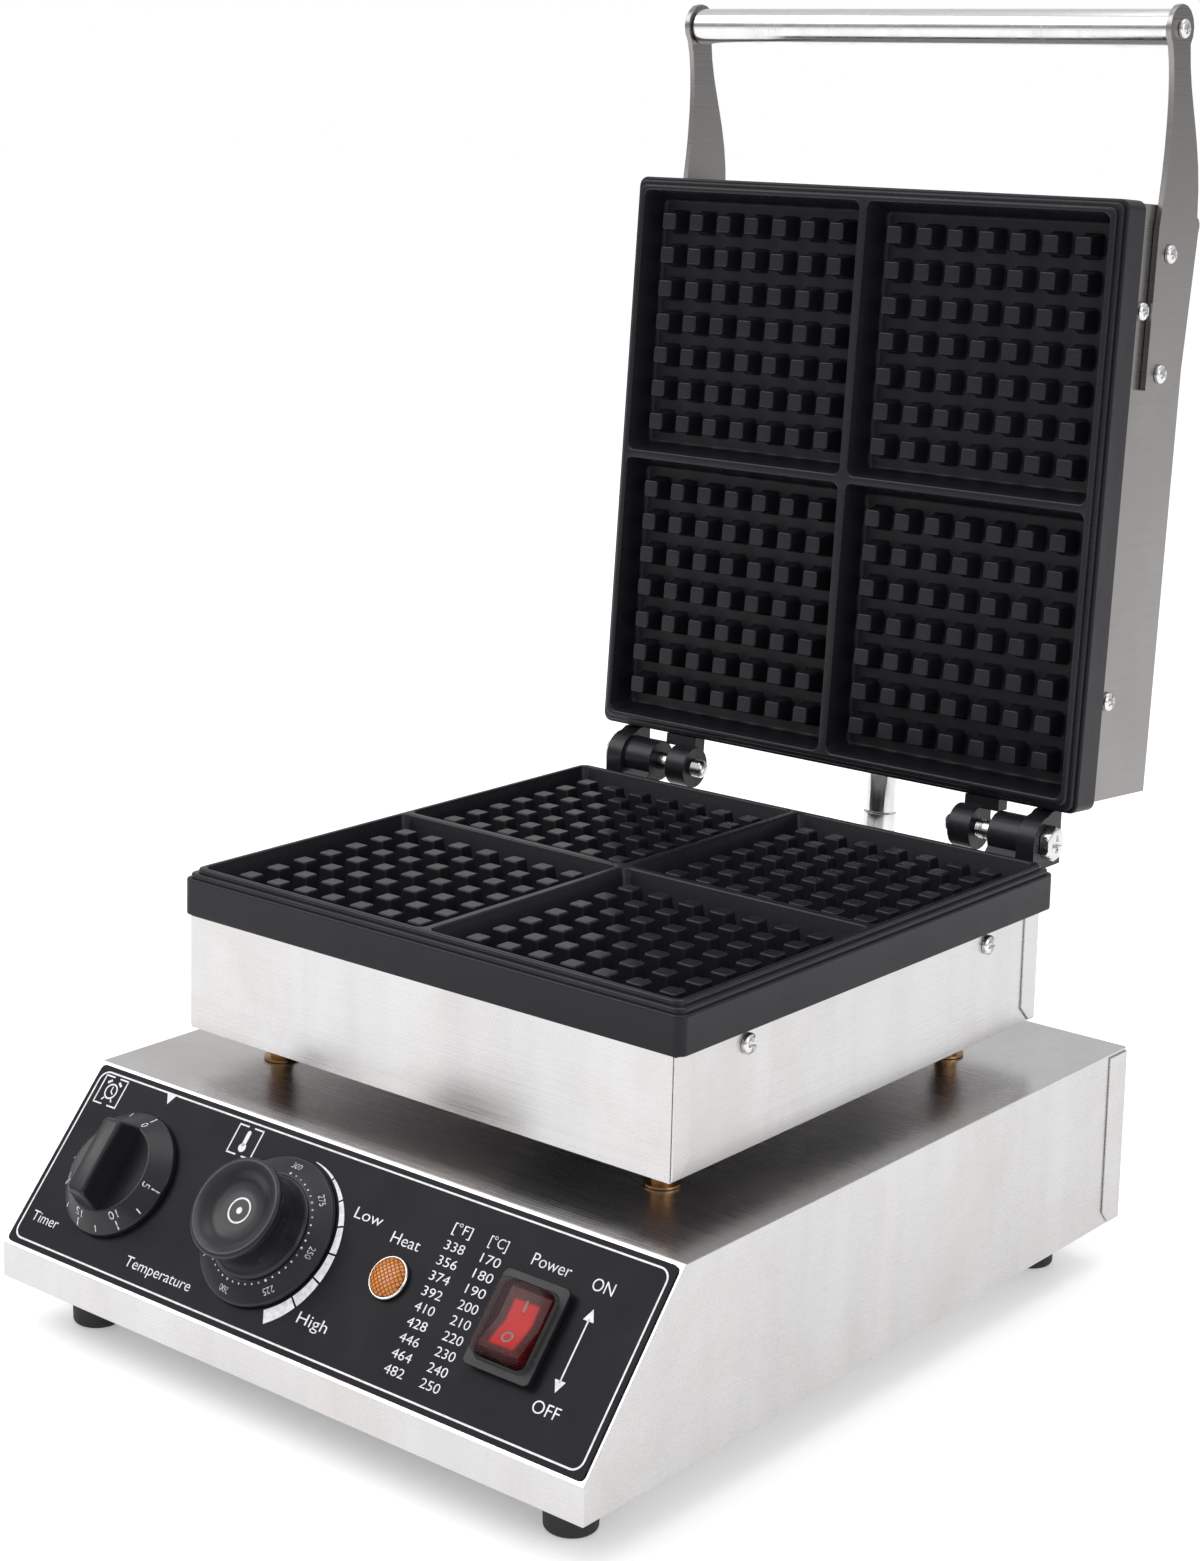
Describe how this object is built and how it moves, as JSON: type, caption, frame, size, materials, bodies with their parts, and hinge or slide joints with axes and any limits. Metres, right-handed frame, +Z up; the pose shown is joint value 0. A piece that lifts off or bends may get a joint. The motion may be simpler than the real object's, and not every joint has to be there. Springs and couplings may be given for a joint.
{
  "type": "waffle maker",
  "caption": "Countertop waffle maker with its hinged lid open: square cast grids, stainless casings, a tubular lid handle and a sloped control panel with a timer, thermostat, lamp and switch.",
  "frame": {"origin": "under the middle of the open machine's bounding box, at the level of the feet", "axes": "+X to the right seen from the control panel, +Y to the hinge side, +Z up"},
  "size_m": [0.294, 0.4298, 0.5222],
  "materials": {
    "satin_steel": "satin brushed stainless sheet",
    "bright_steel": "bright polished steel",
    "cast_coating": "cast aluminium with a near-black satin non-stick coating",
    "heat_tinted_steel": "steel tinted bronze by heat",
    "black_rubber": "matte black rubber",
    "panel_film": "matte near-black film with white printing",
    "black_plastic": "satin black moulded plastic",
    "amber_lens": "translucent amber plastic",
    "red_plastic": "translucent red plastic",
    "clear_vinyl": "clear flexible vinyl",
    "ceramic": "unglazed white ceramic",
    "copper": "bare copper tube"
  },
  "bodies": {
    "base": {"panel_overlay": "panel_film", "timer_body": "black_plastic", "thermostat_body": "black_plastic", "lamp_holder": "bright_steel", "lamp_lens": "amber_lens", "switch_housing": "black_plastic", "switch_cover": "clear_vinyl", "base_casing": "satin_steel", "base_cover": "satin_steel", "foot_front_left": "black_rubber", "foot_front_right": "black_rubber", "foot_rear_left": "black_rubber", "foot_rear_right": "black_rubber", "pillar_front_left": "heat_tinted_steel", "pillar_front_right": "heat_tinted_steel", "pillar_rear_left": "heat_tinted_steel", "pillar_rear_right": "heat_tinted_steel", "lower_plate": "cast_coating", "lower_rim": "cast_coating", "lower_hinge_left": "cast_coating", "lower_hinge_right": "cast_coating", "hinge_bolt_left": "bright_steel", "hinge_bolt_right": "bright_steel", "lower_casing": "satin_steel", "lower_casing_screw_left_1": "bright_steel", "lower_casing_screw_left_2": "bright_steel", "lower_casing_screw_right_1": "bright_steel", "lower_casing_screw_right_2": "bright_steel", "lower_heater": "heat_tinted_steel", "terminal_block": "ceramic", "thermostat_line": "copper", "conduit_gland": "bright_steel", "cord_gland": "black_plastic", "conduit_hose": "bright_steel"},
    "lid": {"upper_plate": "cast_coating", "upper_rim": "cast_coating", "upper_hinge_left": "cast_coating", "upper_hinge_right": "cast_coating", "upper_casing": "satin_steel", "upper_casing_screw_left_1": "bright_steel", "upper_casing_screw_left_2": "bright_steel", "upper_casing_screw_right_1": "bright_steel", "upper_casing_screw_right_2": "bright_steel", "handle_tube": "bright_steel", "handle_bracket_left": "satin_steel", "bracket_screw_left_1": "bright_steel", "bracket_screw_left_2": "bright_steel", "handle_screw_left": "bright_steel", "handle_bracket_right": "satin_steel", "bracket_screw_right_1": "bright_steel", "bracket_screw_right_2": "bright_steel", "handle_screw_right": "bright_steel", "upper_heater": "heat_tinted_steel", "conduit_ferrule": "bright_steel", "conduit_grommet": "black_rubber"},
    "timer": {"timer_knob": "black_plastic", "timer_spindle": "bright_steel"},
    "thermostat": {"thermostat_knob": "black_plastic", "thermostat_spindle": "bright_steel"},
    "rocker": {"switch_rocker": "red_plastic"}
  },
  "joints": [
    {"name": "lid_hinge", "type": "hinge", "parent": "base", "child": "lid", "pos_m": [0, 0.13171, 0.1779], "axis": [1, 0, 0], "range_deg": [0, 93.9], "deforming": ["conduit_hose"]},
    {"name": "timer_turn", "type": "hinge", "parent": "base", "child": "timer", "pos_m": [-0.106, -0.18379, 0.0635], "axis": [0, 0.7573, -0.653], "range_deg": [0, 300]},
    {"name": "thermostat_turn", "type": "hinge", "parent": "base", "child": "thermostat", "pos_m": [-0.0255, -0.18379, 0.0635], "axis": [0, 0.7573, -0.653], "range_deg": [0, 270]},
    {"name": "rocker_tilt", "type": "hinge", "parent": "base", "child": "rocker", "pos_m": [0.0975, -0.18265, 0.06252], "axis": [1, 0, 0], "range_deg": [0, 20]}
  ]
}
